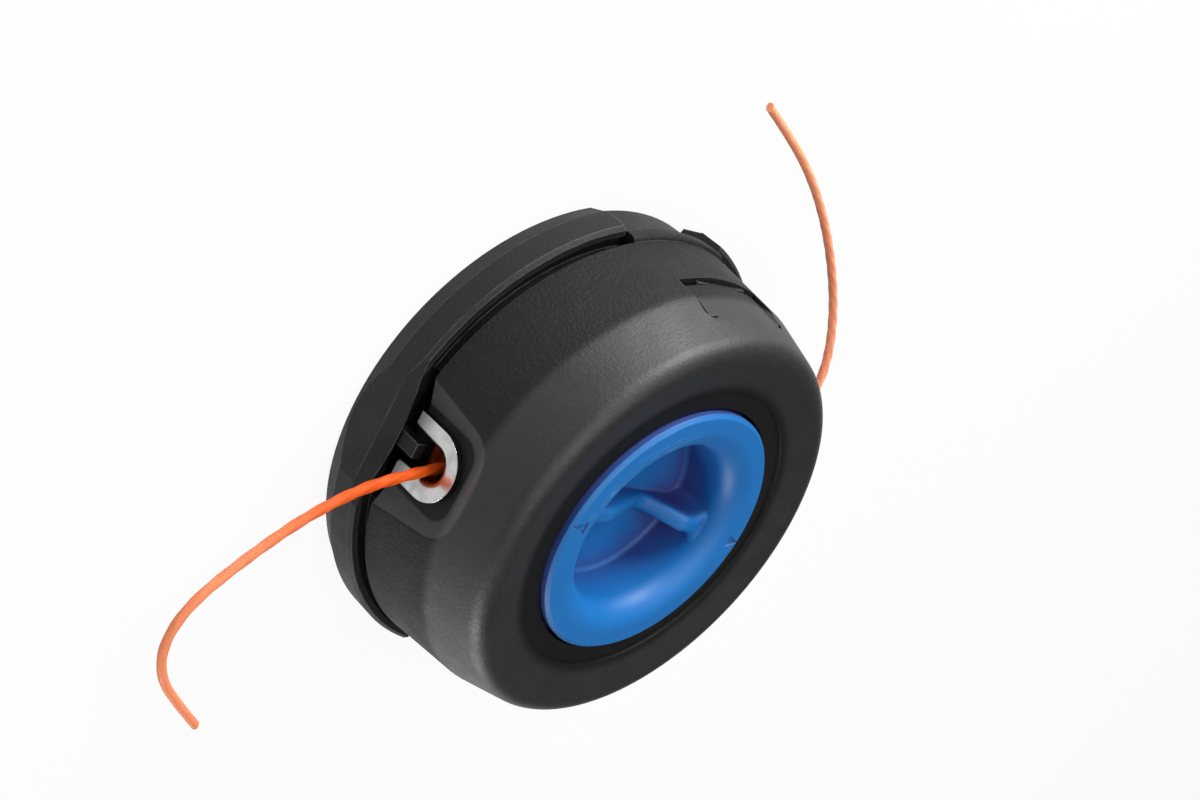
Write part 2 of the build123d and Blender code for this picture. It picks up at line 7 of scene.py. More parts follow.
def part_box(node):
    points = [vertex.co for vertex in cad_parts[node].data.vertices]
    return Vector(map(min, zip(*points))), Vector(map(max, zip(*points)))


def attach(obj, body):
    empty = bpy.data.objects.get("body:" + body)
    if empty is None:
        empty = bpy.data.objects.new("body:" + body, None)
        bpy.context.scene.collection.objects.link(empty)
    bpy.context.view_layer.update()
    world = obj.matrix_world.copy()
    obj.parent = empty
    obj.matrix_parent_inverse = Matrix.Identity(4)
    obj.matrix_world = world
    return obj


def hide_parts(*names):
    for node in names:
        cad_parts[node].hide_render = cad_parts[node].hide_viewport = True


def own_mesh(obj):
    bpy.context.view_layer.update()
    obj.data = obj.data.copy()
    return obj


# Manual feed trimmer head, in metres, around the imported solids.

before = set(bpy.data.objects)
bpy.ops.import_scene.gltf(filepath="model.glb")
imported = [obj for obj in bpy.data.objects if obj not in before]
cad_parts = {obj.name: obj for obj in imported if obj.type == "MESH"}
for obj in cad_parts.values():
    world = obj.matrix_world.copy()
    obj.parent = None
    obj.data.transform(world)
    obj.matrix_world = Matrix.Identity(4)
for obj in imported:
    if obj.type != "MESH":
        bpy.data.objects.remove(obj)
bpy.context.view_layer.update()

MM = 0.001
UPWARDS = Vector((0, 0, 1))

# Camera
CAMERA_PLACE = Vector((0.2947, -0.1312, 0.2252))
CAMERA_TARGET = Vector((0.00836, -0.01708, 0.0200))
CAMERA_ROLL = math.radians(131.25)
CAMERA_LENS = 53.385
CAMERA_NEAR = 0.01
CAMERA_FAR = 20.0

# Floor and sky
FLOOR_SIZE = 14.0
FLOOR_LEVEL = 0.7
FLOOR_ROUGHNESS = 0.9
FLOOR_GLOW = 0.92
SKY_STRENGTH = 0.2

# Lamps, each with its name, place, width and power in watts
LAMP_TARGET = Vector((0.0, 0.0, 0.03))
LAMPS = [
    ("overhead", Vector((0.25, -0.2, 0.75)), 0.8, 4.2),
    ("side", Vector((-0.06, -0.72, 0.22)), 0.42, 8.8),
    ("low", Vector((0.1, 0.8, 0.2)), 0.38, 3.6),
    ("front", Vector((0.8, 0.0, 0.5)), 1.0, 0.5),
]

# Trimmer line
LINE_HEIGHT = 20.5 * MM
LINE_DIAMETER = 2.4 * MM
LINE_RADIUS = LINE_DIAMETER / 2
LINE_LENGTH_1 = 95.7 * MM
LINE_LENGTH_2 = 135.3 * MM
LINE_SMOOTHNESS = 24
LINE_SIDES = 24
LINE_PITCH = 22.0 * MM
LINE_LOBES = 4
LINE_FLATNESS = 0.16
LINE_WEAR = 0.25
LINE_CUT_SLANT = 0.35

# Routes of the line's free ends, as x and y in millimetres
LINE_ROUTE_1 = [
    (43.0, 0.6),
    (52.0, 2.9),
    (62.5, 6.4),
    (73.0, 13.2),
    (83.0, 23.4),
    (90.4, 33.2),
    (91.9, 42.2),
    (88.6, 50.2),
    (81.5, 57.0),
    (74.4, 62.9),
]
LINE_ROUTE_2 = [
    (43.0, -0.5),
    (50.5, 2.9),
    (58.0, 9.0),
    (64.3, 17.2),
    (66.8, 26.8),
    (63.0, 36.0),
    (55.5, 46.0),
    (46.0, 55.6),
    (34.5, 65.2),
    (21.5, 74.0),
    (7.5, 81.2),
    (-6.8, 86.8),
]

# Wound line
WINDING_INNER = 26.35 * MM
WINDING_LAYERS = 5
WINDING_ROWS = 3
WINDING_STEPS = 96
WINDING_SIDES = 10
WINDING_CHANGE = 0.12

# Return spring, with the radius of its wire
SPRING_WIRE = 0.75 * MM
SPRING_TURNS = 5.5
SPRING_STEPS = 264
SPRING_SIDES = 12

# Heights and radii of the bowl that its finish follows
BACK_HEIGHT = 13.5 * MM
KNEE_HEIGHT = 31.5 * MM
KNEE_BLEND = 2.0 * MM
LIP_HEIGHT = 40.0 * MM
LIP_BLEND = 1.0 * MM
CORNER_HEIGHT = 45.9 * MM
BACK_RADIUS = 52.5 * MM
KNEE_RADIUS = 50.6 * MM
CORNER_RADIUS = 46.3 * MM
STEP_RADIUS = 34.8 * MM
STEP_BLEND = 3.2 * MM
RECESS_FLOOR = 48.0 * MM

# Radii of the knob that its finish follows
MOUTH_INNER = 21.0 * MM
MOUTH_OUTER = 27.0 * MM

# Spans of the noises and edge masks that all materials share
FULL_SPAN = (0.0, 1.0)
NOISE_SPAN = (0.3, 0.7)
EDGE_SPAN = (0.995, 0.92)
EDGE_SAMPLES = 6
SKY_SAMPLES = 8


def colour(red, green, blue):
    """Return an opaque colour."""
    return (red, green, blue, 1.0)


def grey(level):
    """Return an opaque grey."""
    return colour(level, level, level)


def add_node(material, kind, inputs=None, **settings):
    """Add a shader node, and set or link its inputs, which are named or numbered."""
    node = material.node_tree.nodes.new(kind)
    for name, value in settings.items():
        setattr(node, name, value)
    for socket, value in (inputs or {}).items():
        feed(material, value, node.inputs[socket])
    return node


def feed(material, value, socket):
    """Link an output to a socket, or set the socket to a plain value."""
    if isinstance(value, bpy.types.NodeSocket):
        material.node_tree.links.new(value, socket)
    else:
        socket.default_value = value


def new_material(name):
    """Return a material and its shader."""
    material = bpy.data.materials.new(name)
    material.use_nodes = True
    return material, material.node_tree.nodes["Principled BSDF"]


def place_of(material):
    """Return the output that gives a point's place in metres."""
    return add_node(material, "ShaderNodeTexCoord").outputs["Object"]


def noise(material, place, size, detail=2.0, roughness=0.5):
    """Return the value of a noise whose lumps are about the given size."""
    inputs = {"Vector": place, "Scale": 1.0 / size, "Detail": detail, "Roughness": roughness}
    return add_node(material, "ShaderNodeTexNoise", inputs).outputs["Fac"]


def ramp(material, value, span, limits=FULL_SPAN, shape="SMOOTHSTEP"):
    """Return a value mapped from a span to a range between two limits, and held at them."""
    inputs = {
        "Value": value,
        "From Min": span[0],
        "From Max": span[1],
        "To Min": limits[0],
        "To Max": limits[1],
    }
    node = add_node(material, "ShaderNodeMapRange", inputs, interpolation_type=shape)
    return node.outputs["Result"]


def math_node(material, operation, first, second=0.0):
    """Return the result of a calculation with one or two values."""
    return add_node(material, "ShaderNodeMath", {0: first, 1: second}, operation=operation).outputs[0]


def product(material, first, *others):
    """Return the values multiplied together."""
    result = first
    for other in others:
        result = math_node(material, "MULTIPLY", result, other)
    return result


def dot_product(material, first, second):
    """Return the dot product of two vectors."""
    node = add_node(material, "ShaderNodeVectorMath", {0: first, 1: second}, operation="DOT_PRODUCT")
    return node.outputs["Value"]


def mix_colour(material, share, first, second):
    """Return a colour between two colours."""
    node = add_node(material, "ShaderNodeMix", data_type="RGBA")
    feed(material, share, node.inputs[0])
    feed(material, first, node.inputs[6])
    feed(material, second, node.inputs[7])
    return node.outputs[2]


def open_sky(material, distance):
    """Return how open a point is to what lies around it within a distance."""
    inputs = {"Distance": distance}
    return add_node(material, "ShaderNodeAmbientOcclusion", inputs, samples=SKY_SAMPLES).outputs["AO"]


def soft_edges(material, radius):
    """Return the normal that rounds the edges, and a mask that is 1 along them."""
    bevel = add_node(material, "ShaderNodeBevel", {"Radius": radius}, samples=EDGE_SAMPLES)
    rounded = bevel.outputs["Normal"]
    true_normal = add_node(material, "ShaderNodeNewGeometry").outputs["True Normal"]
    likeness = dot_product(material, rounded, true_normal)
    return rounded, ramp(material, likeness, EDGE_SPAN)


def bumped(material, normal, layers):
    """Return a normal with bumps on it, one for each height, depth and share."""
    for height, depth, share in layers:
        inputs = {"Height": height, "Distance": depth, "Strength": share, "Normal": normal}
        normal = add_node(material, "ShaderNodeBump", inputs).outputs["Normal"]
    return normal


def height_and_reach(material, place):
    """Return a point's height and its distance from the spindle's axis."""
    height = add_node(material, "ShaderNodeSeparateXYZ", {0: place}).outputs["Z"]
    flat_place = add_node(material, "ShaderNodeVectorMath", {0: place, 1: (1, 1, 0)}, operation="MULTIPLY")
    reach = add_node(material, "ShaderNodeVectorMath", {0: flat_place.outputs[0]}, operation="LENGTH")
    return height, reach.outputs["Value"]


# Eyelet recesses and step of the bowl, with painted light on the recess bevels and painted shade on the
# recess floors and the step
SUNK_SPAN = (0.1 * MM, 0.45 * MM)
EYELET_SPAN = (RECESS_FLOOR - 4.0 * MM, RECESS_FLOOR - 3.0 * MM)
RECESS_BEVEL_SPAN = (RECESS_FLOOR + 0.03 * MM, RECESS_FLOOR + 0.35 * MM)
# Painted light on the recess bevels and painted shade on the recess floors
RECESS_BEVEL_PAINTED_LIGHT = grey(0.048)
RECESS_FLOOR_PAINTED_SHADE = grey(0.004)
RECESS_GRAIN = 0.3
STEP_SPAN = (STEP_RADIUS + STEP_BLEND, STEP_RADIUS)
# Painted shade on the step around the knob
STEP_PAINTED_SHADE = grey(0.003)
STEP_DULLNESS = 0.9
OFF_STEP_SPAN = (STEP_RADIUS + 0.5 * MM, STEP_RADIUS + 1.5 * MM)


def recess_masks(material, place, height, reach):
    """Return masks of the bevel and the floor of the eyelet recesses."""
    wall_span = (BACK_HEIGHT, KNEE_HEIGHT)
    slope_span = (KNEE_HEIGHT, CORNER_HEIGHT)
    wall = ramp(material, height, wall_span, (BACK_RADIUS, KNEE_RADIUS), "LINEAR")
    slope = ramp(material, height, slope_span, (0.0, KNEE_RADIUS - CORNER_RADIUS), "LINEAR")
    outer = math_node(material, "SUBTRACT", wall, slope)
    depth = math_node(material, "SUBTRACT", outer, reach)
    sunk = ramp(material, depth, SUNK_SPAN)
    under_lip = ramp(material, height, (LIP_HEIGHT, LIP_HEIGHT - LIP_BLEND))
    across = add_node(material, "ShaderNodeSeparateXYZ", {0: place}).outputs["X"]
    out = math_node(material, "ABSOLUTE", across)
    inside = product(material, sunk, under_lip, ramp(material, out, EYELET_SPAN))
    bevel = product(material, inside, ramp(material, out, RECESS_BEVEL_SPAN))
    return bevel, math_node(material, "SUBTRACT", inside, bevel)


def recesses_and_step(material, place, height, reach, tone, texture, smooth):
    """Return the bowl's tone, texture and smoothness, changed in its recesses and on its step: painted
    light on the recess bevels, painted shade on the recess floors.
    """
    bevel, floor = recess_masks(material, place, height, reach)
    # Painted light on the recess bevels, painted shade on the recess floors
    tone = mix_colour(material, bevel, tone, RECESS_BEVEL_PAINTED_LIGHT)
    tone = mix_colour(material, floor, tone, RECESS_FLOOR_PAINTED_SHADE)
    plain = math_node(material, "SUBTRACT", 1.0, math_node(material, "ADD", bevel, floor))
    texture = product(material, texture, ramp(material, plain, FULL_SPAN, (RECESS_GRAIN, 1.0)))

    # The step around the knob gets painted shade and a duller gloss
    step = ramp(material, reach, STEP_SPAN)
    tone = mix_colour(material, step, tone, STEP_PAINTED_SHADE)
    smooth = math_node(material, "SUBTRACT", smooth, product(material, step, STEP_DULLNESS))
    return tone, texture, smooth


# Black plastic
BLACK_BASE = colour(0.0055, 0.0055, 0.0056)
BLACK_SPECKLE = colour(0.013, 0.013, 0.0132)
BLACK_ROUGHNESS = (0.54, 0.64)
BLACK_EDGE = 0.35 * MM
SPARK_SIZE = 0.7 * MM
SPARK_DEPTH = 0.42 * MM
SPECKLE_SPAN = (0.5, 0.75)
LUMP_SIZE = 2.2 * MM
LUMP_DEPTH = 0.12 * MM
SCUFF_SIZE = 7.0 * MM
RUB_SPAN = (0.35, 0.6)
RUB_SHARES = (0.2, 1.0)
KNEE_SPAN = (KNEE_HEIGHT - KNEE_BLEND, KNEE_HEIGHT + KNEE_BLEND)
SLOPE_GRAIN = 0.3
SLOPE_POLISH = 0.07
SLOPE_SHINE = 0.64
# Edge tones: wear, and painted highlight lines along the edges
HOUSING_EDGE_WEAR_AND_HIGHLIGHT = grey(0.11)
HOUSING_GRAIN = 0.3
HOUSING_SHINE = 0.32
BOWL_EDGE_WEAR_AND_HIGHLIGHT = grey(0.05)
BOWL_GRAIN = 0.75
BOWL_SHINE = 0.24


def black_plastic(name, edge_wear_and_highlight_tone, grain, shine, is_bowl):
    """Return the body's black plastic: spark textured under the knee and smoother above it."""
    material, shader = new_material(name)
    place = place_of(material)
    height, reach = height_and_reach(material, place)
    normal, edges = soft_edges(material, BLACK_EDGE)
    sparks = noise(material, place, SPARK_SIZE, detail=3.0, roughness=0.65)
    lumps = noise(material, place, LUMP_SIZE)
    scuffs = noise(material, place, SCUFF_SIZE, detail=4.0, roughness=0.6)

    texture = ramp(material, height, KNEE_SPAN, (grain, SLOPE_GRAIN * grain))
    smooth = ramp(material, height, KNEE_SPAN)
    moulded = ramp(material, scuffs, NOISE_SPAN, BLACK_ROUGHNESS)
    roughness = math_node(material, "SUBTRACT", moulded, product(material, smooth, SLOPE_POLISH))

    speckled = mix_colour(material, ramp(material, sparks, SPECKLE_SPAN), BLACK_BASE, BLACK_SPECKLE)
    # Edges are lightened by wear and by painted highlight lines
    rubbed = product(material, edges, ramp(material, scuffs, RUB_SPAN, RUB_SHARES))
    if is_bowl:
        rubbed = product(material, rubbed, ramp(material, reach, OFF_STEP_SPAN))
    tone = mix_colour(material, rubbed, speckled, edge_wear_and_highlight_tone)
    if is_bowl:
        tone, texture, smooth = recesses_and_step(material, place, height, reach, tone, texture, smooth)

    gloss = ramp(material, smooth, FULL_SPAN, (shine, SLOPE_SHINE))
    layers = [(sparks, SPARK_DEPTH, texture), (lumps, LUMP_DEPTH, texture)]
    feed(material, tone, shader.inputs["Base Color"])
    feed(material, roughness, shader.inputs["Roughness"])
    feed(material, gloss, shader.inputs["Specular IOR Level"])
    feed(material, bumped(material, normal, layers), shader.inputs["Normal"])
    return material


# Scratches on the rubbed side of the dish's mouth
RUBBED_SIDE = (0.76, -0.65, 0.0)
RUBBED_RUN = (0.65, 0.76, 0.0)
RUBBED_SPAN = (MOUTH_INNER - 3.0 * MM, MOUTH_INNER + 1.5 * MM)
MOUTH_SPAN = (MOUTH_OUTER, MOUTH_OUTER - 1.8 * MM)
OFF_FLOOR_SPAN = (MOUTH_INNER + 0.5 * MM, MOUTH_INNER + 1.5 * MM)
SCRATCH_STRETCH = 0.16
SCRATCH_SIZE = 0.5 * MM
SCRATCH_DEPTH = 0.05 * MM
SCRATCH_SPAN = (0.48, 0.66)
SCRATCH_SHARE = 0.55


def mouth_scratches(material, place, reach):
    """Return drawn-out streaks, and a mask of the scratches that they make on the rubbed side."""
    run = product(material, dot_product(material, place, RUBBED_RUN), SCRATCH_STRETCH)
    drawn_out = add_node(material, "ShaderNodeCombineXYZ", {"X": reach, "Y": run}).outputs["Vector"]
    streaks = noise(material, drawn_out, SCRATCH_SIZE, detail=3.0, roughness=0.7)
    at_mouth = ramp(material, reach, MOUTH_SPAN)
    off_floor = ramp(material, reach, OFF_FLOOR_SPAN)
    at_side = ramp(material, dot_product(material, place, RUBBED_SIDE), RUBBED_SPAN)
    rubbed = product(material, at_mouth, off_floor, at_side)
    return streaks, product(material, ramp(material, streaks, SCRATCH_SPAN), rubbed)


# Blue plastic
RIM_TONES = (colour(0.001, 0.12, 0.375), colour(0.001, 0.136, 0.43))
# Painted shade in the dish's pockets
POCKET_PAINTED_SHADE = colour(0.045, 0.046, 0.22)
BLUE_WORN = colour(0.1, 0.3, 0.66)
BLUE_ROUGHNESS = (0.48, 0.54)
BLUE_SHINE = 0.5
DISH_EDGE = 1.3 * MM
MOUTH_EDGE = 0.4 * MM
MOUTH_EDGE_SPAN = (MOUTH_INNER - 1.0 * MM, MOUTH_INNER)
BLUE_CLOUD_SIZE = 9.0 * MM
BLUE_CLOUD_DEPTH = 0.12 * MM
BLUE_CLOUD_SHARE = 0.35
BLUE_FINE_SIZE = 0.5 * MM
BLUE_FINE_DEPTH = 0.012 * MM
BLUE_FINE_SHARE = 0.5
BLUE_WEAR_SPAN = (0.4, 0.7)
BLUE_WEAR_SHARES = (0.05, 0.3)
POCKET_DISTANCE = 14.0 * MM
POCKET_SPAN = (0.2, 0.8)


def blue_plastic(name):
    """Return the knob's blue plastic, with painted shade in a deeper violet-blue where the dish shades
    itself.
    """
    material, shader = new_material(name)
    place = place_of(material)
    reach = height_and_reach(material, place)[1]
    edge_radius = ramp(material, reach, MOUTH_EDGE_SPAN, (DISH_EDGE, MOUTH_EDGE))
    normal, edges = soft_edges(material, edge_radius)
    clouds = noise(material, place, BLUE_CLOUD_SIZE, detail=3.0)
    fine = noise(material, place, BLUE_FINE_SIZE)
    # Painted shade: violet-blue where the dish is closed in
    openness = ramp(material, open_sky(material, POCKET_DISTANCE), POCKET_SPAN)
    rim = mix_colour(material, clouds, *RIM_TONES)
    tone = mix_colour(material, openness, POCKET_PAINTED_SHADE, rim)

    streaks, scratches = mouth_scratches(material, place, reach)
    worn = product(material, edges, ramp(material, clouds, BLUE_WEAR_SPAN, BLUE_WEAR_SHARES))
    marks = math_node(material, "MAXIMUM", worn, product(material, scratches, SCRATCH_SHARE))
    layers = [
        (fine, BLUE_FINE_DEPTH, BLUE_FINE_SHARE),
        (clouds, BLUE_CLOUD_DEPTH, BLUE_CLOUD_SHARE),
        (streaks, SCRATCH_DEPTH, scratches),
    ]
    feed(material, mix_colour(material, marks, tone, BLUE_WORN), shader.inputs["Base Color"])
    feed(material, ramp(material, clouds, NOISE_SPAN, BLUE_ROUGHNESS), shader.inputs["Roughness"])
    feed(material, BLUE_SHINE, shader.inputs["Specular IOR Level"])
    feed(material, bumped(material, normal, layers), shader.inputs["Normal"])
    return material


# Metal
EYELET_TONES = (colour(0.54, 0.54, 0.53), colour(0.36, 0.36, 0.35))
EYELET_ROUGHNESS = 0.15
EYELET_PITS = 0.5 * MM
EYELET_FOOT_SHADE = 0.85
ZINC_TONES = (colour(0.52, 0.52, 0.51), colour(0.36, 0.35, 0.34))
ZINC_ROUGHNESS = 0.28
ZINC_PITS = 0.4 * MM
ZINC_FOOT_SHADE = 0.0
# Painted shade and painted dark reflection, in hollows and towards the foot
METAL_PAINTED_SHADE = grey(0.07)
METAL_EDGE = 0.25 * MM
PIT_DEPTH = 0.02 * MM
PIT_SHARE = 0.6
PATCH_SIZE = 3.5 * MM
PATCH_SPAN = (0.4, 0.75)
PATCH_ROUGHNESS = 1.6
HOLLOW_DISTANCE = 4.0 * MM
HOLLOW_SPAN = (0.75, 0.25)
FOOT_SHADE_SPAN = (21.5 * MM, 15.0 * MM)
FOOT_SHADE_BLOTCH = 3.0 * MM


def metal(name, tones, roughness, pit_size, foot_shade):
    """Return a metal with fine pits, dull patches, rubbed edges, and painted shade in its hollows and
    towards its foot.
    """
    material, shader = new_material(name)
    place = place_of(material)
    height = height_and_reach(material, place)[0]
    normal, edges = soft_edges(material, METAL_EDGE)
    pits = noise(material, place, pit_size, detail=4.0, roughness=0.65)
    patches = noise(material, place, PATCH_SIZE, detail=3.0)
    tone = mix_colour(material, ramp(material, patches, PATCH_SPAN), *tones)
    bright = mix_colour(material, edges, tone, tones[0])

    # Painted shade: darker in hollows, and blotchy towards the foot, where the brow shades it and darkly
    # reflects in it
    hollow = ramp(material, open_sky(material, HOLLOW_DISTANCE), HOLLOW_SPAN)
    blotched = math_node(material, "ADD", height, product(material, patches, FOOT_SHADE_BLOTCH))
    shaded_foot = ramp(material, blotched, FOOT_SHADE_SPAN, (0.0, foot_shade))
    painted_shade = math_node(material, "MAXIMUM", hollow, shaded_foot)
    patchy = ramp(material, patches, NOISE_SPAN, (roughness, PATCH_ROUGHNESS * roughness))
    feed(material, mix_colour(material, painted_shade, bright, METAL_PAINTED_SHADE), shader.inputs["Base Color"])
    feed(material, 1.0, shader.inputs["Metallic"])
    feed(material, patchy, shader.inputs["Roughness"])
    feed(material, bumped(material, normal, [(pits, PIT_DEPTH, PIT_SHARE)]), shader.inputs["Normal"])
    return material


# Nylon of the line, with the span of reach over which it bleaches
FRESH_TONES = (colour(0.58, 0.066, 0.004), colour(0.64, 0.09, 0.008))
FADED_TONES = (colour(0.76, 0.22, 0.095), colour(0.8, 0.27, 0.135))
# Line 2's tones: bleached, and painted paler as painted light for the weaker light that reaches line 2
PALEST_BLEACHED_AND_LIT_TONES = (colour(0.95, 0.31, 0.16), colour(0.97, 0.38, 0.22))
BLEACH_SPAN = (62.0 * MM, 92.0 * MM)
NYLON_ROUGHNESS = (0.46, 0.6)
NYLON_SHINE = 0.15
NYLON_GLOW_SHARE = 0.25
NYLON_GLOW_DEPTH = 1.0 * MM
NYLON_CLOUD_SIZE = 2.6 * MM
NYLON_FINE_SIZE = 0.4 * MM
NYLON_FINE_DEPTH = 0.012 * MM
NYLON_FINE_SHARE = 0.4


def line_plastic(name, near_tones, far_tones):
    """Return the trimmer line's orange nylon, slightly cloudy and changing in tone away from the head."""
    material, shader = new_material(name)
    place = place_of(material)
    reach = height_and_reach(material, place)[1]
    clouds = noise(material, place, NYLON_CLOUD_SIZE, detail=3.0)
    fine = noise(material, place, NYLON_FINE_SIZE)
    near = mix_colour(material, clouds, *near_tones)
    far = mix_colour(material, clouds, *far_tones)
    bleached = ramp(material, reach, BLEACH_SPAN)
    normal = add_node(material, "ShaderNodeNewGeometry").outputs["Normal"]
    feed(material, mix_colour(material, bleached, near, far), shader.inputs["Base Color"])
    feed(material, ramp(material, clouds, NOISE_SPAN, NYLON_ROUGHNESS), shader.inputs["Roughness"])
    feed(material, NYLON_SHINE, shader.inputs["Specular IOR Level"])
    feed(material, NYLON_GLOW_SHARE, shader.inputs["Subsurface Weight"])
    feed(material, NYLON_GLOW_DEPTH, shader.inputs["Subsurface Scale"])
    layers = [(fine, NYLON_FINE_DEPTH, NYLON_FINE_SHARE)]
    feed(material, bumped(material, normal, layers), shader.inputs["Normal"])
    return material


# Plain plastic of the inner mouldings
WASHER_TONES = (colour(0.58, 0.57, 0.52), colour(0.5, 0.48, 0.43))
SPOOL_TONES = (colour(0.02, 0.02, 0.021), colour(0.04, 0.04, 0.042))
PLAIN_ROUGHNESS = (0.4, 0.55)
PLAIN_EDGE = 0.3 * MM
PLAIN_CLOUD_SIZE = 5.0 * MM
PLAIN_CLOUD_SPAN = (0.35, 0.7)
PLAIN_FINE_SIZE = 0.6 * MM
PLAIN_FINE_DEPTH = 0.03 * MM
PLAIN_FINE_SHARE = 0.5


def plain_plastic(name, tones):
    """Return an inner moulding's plastic, faintly mottled, with its second tone along the edges."""
    material, shader = new_material(name)
    place = place_of(material)
    normal, edges = soft_edges(material, PLAIN_EDGE)
    clouds = noise(material, place, PLAIN_CLOUD_SIZE, detail=3.0)
    fine = noise(material, place, PLAIN_FINE_SIZE)
    tone = mix_colour(material, ramp(material, clouds, PLAIN_CLOUD_SPAN), *tones)
    feed(material, mix_colour(material, edges, tone, tones[1]), shader.inputs["Base Color"])
    feed(material, ramp(material, clouds, NOISE_SPAN, PLAIN_ROUGHNESS), shader.inputs["Roughness"])
    layers = [(fine, PLAIN_FINE_DEPTH, PLAIN_FINE_SHARE)]
    feed(material, bumped(material, normal, layers), shader.inputs["Normal"])
    return material


housing_black = black_plastic("housing_black", HOUSING_EDGE_WEAR_AND_HIGHLIGHT, HOUSING_GRAIN, HOUSING_SHINE, is_bowl=False)
bowl_black = black_plastic("bowl_black", BOWL_EDGE_WEAR_AND_HIGHLIGHT, BOWL_GRAIN, BOWL_SHINE, is_bowl=True)
knob_blue = blue_plastic("knob_blue")
line_orange = line_plastic("line_orange", FRESH_TONES, FADED_TONES)
# Line 2's nylon is bleached and painted paler, as painted light for the weaker light on it
line_bleached_painted_light = line_plastic("line_bleached_painted_light", PALEST_BLEACHED_AND_LIT_TONES, PALEST_BLEACHED_AND_LIT_TONES)
eyelet_metal = metal("eyelet_metal", EYELET_TONES, EYELET_ROUGHNESS, EYELET_PITS, EYELET_FOOT_SHADE)
zinc_steel = metal("zinc_steel", ZINC_TONES, ZINC_ROUGHNESS, ZINC_PITS, ZINC_FOOT_SHADE)
washer_nylon = plain_plastic("washer_nylon", WASHER_TONES)
spool_black = plain_plastic("spool_black", SPOOL_TONES)

NODE_MATERIALS = {
    "drive_housing": housing_black,
    "bowl_cover": bowl_black,
    "knob": knob_blue,
    "eyelet_1": eyelet_metal,
    "eyelet_2": eyelet_metal,
    "hub_nut": zinc_steel,
    "thrust_washer": washer_nylon,
    "spool": spool_black,
    "winding_lower": line_orange,
    "winding_upper": line_orange,
    "spring_washer": zinc_steel,
    "return_spring": zinc_steel,
    "line_end_1": line_orange,
    "line_end_2": line_bleached_painted_light,
}
for node_name, node_material in NODE_MATERIALS.items():
    cad_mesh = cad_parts[node_name].data
    cad_mesh.materials.clear()
    cad_mesh.materials.append(node_material)


def spread(first, last, count):
    """Return evenly spaced values from the first to the last."""
    return [first + (last - first) * index / (count - 1) for index in range(count)]


def add_piece(name, points, faces, material, body, replaced):
    """Add a smooth mesh of line or wire that rides on a body and stands for a node."""
    mesh = bpy.data.meshes.new(name)
    mesh.from_pydata(points, [], faces)
    mesh.polygons.foreach_set("use_smooth", [len(face) == 4 for face in faces])
    mesh.materials.append(material)
    piece = bpy.data.objects.new(name, mesh)
    bpy.context.scene.collection.objects.link(piece)
    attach(piece, body)
    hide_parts(replaced)
    return piece


def tube_faces(rings, sides):
    """Return the faces of a tube of rings, closed by a face at either end."""
    faces = []
    for ring in range(rings - 1):
        for side in range(sides):
            corner = ring * sides + side
            beside = ring * sides + (side + 1) % sides
            faces.append((corner, beside, beside + sides, corner + sides))
    faces.append(tuple(reversed(range(sides))))
    faces.append(tuple(range((rings - 1) * sides, rings * sides)))
    return faces


def line_centre(route, turn):
    """Return the points of the smooth curve that a route controls, turned half around where turn is -1."""
    data = bpy.data.curves.new("line_route", "CURVE")
    data.dimensions = "3D"
    data.resolution_u = LINE_SMOOTHNESS
    spline = data.splines.new("NURBS")
    spline.points.add(len(route) - 1)
    for point, (x, y) in zip(spline.points, route):
        point.co = (turn * x * MM, turn * y * MM, LINE_HEIGHT, 1.0)
    spline.order_u = 3
    spline.use_endpoint_u = True
    guide = bpy.data.objects.new("line_route", data)
    mesh = bpy.data.meshes.new_from_object(guide)
    centre = [vertex.co.copy() for vertex in mesh.vertices]
    bpy.data.objects.remove(guide)
    bpy.data.curves.remove(data)
    bpy.data.meshes.remove(mesh)
    return centre


def line_ring(middle, along, twist, worn, slant):
    """Return the points of the line's section: four-cornered, and rounder and thinner with wear."""
    sideways = along.cross(UPWARDS)
    points = []
    for side in range(LINE_SIDES):
        angle = math.tau * side / LINE_SIDES
        hollow = LINE_FLATNESS * (1 - worn) * (1 - math.cos(LINE_LOBES * angle)) / 2
        radius = LINE_RADIUS * (1 - LINE_WEAR * worn - hollow)
        across = radius * math.cos(angle + twist)
        rise = radius * math.sin(angle + twist)
        cut_back = slant * (across - LINE_RADIUS)
        points.append(middle + across * sideways + rise * UPWARDS + cut_back * along)
    return points


def twisted_line(name, route, turn, length, material, replaced):
    """Add a free end of line, which twists, wears towards its free end and is cut off at a slant."""
    centre = line_centre(route, turn)
    last = len(centre) - 1
    points = []
    travelled = 0.0
    for index, middle in enumerate(centre):
        before = centre[max(index - 1, 0)]
        after = centre[min(index + 1, last)]
        travelled += (middle - before).length
        twist = math.tau * travelled / LINE_PITCH
        worn = min(1.0, travelled / length)
        slant = LINE_CUT_SLANT if index == last else 0.0
        points += line_ring(middle, (after - before).normalized(), twist, worn, slant)
    faces = tube_faces(len(centre), LINE_SIDES)
    piece = add_piece(name, points, faces, material, "housing", replaced)


def wire_ring(around, reach, height, wire, sides):
    """Return the points of a round wire's section at one angle, reach and height of its turns."""
    outwards = Vector((math.cos(around), math.sin(around), 0))
    middle = reach * outwards + height * UPWARDS
    angles = [math.tau * side / sides for side in range(sides)]
    return [middle + wire * (math.cos(angle) * outwards + math.sin(angle) * UPWARDS) for angle in angles]


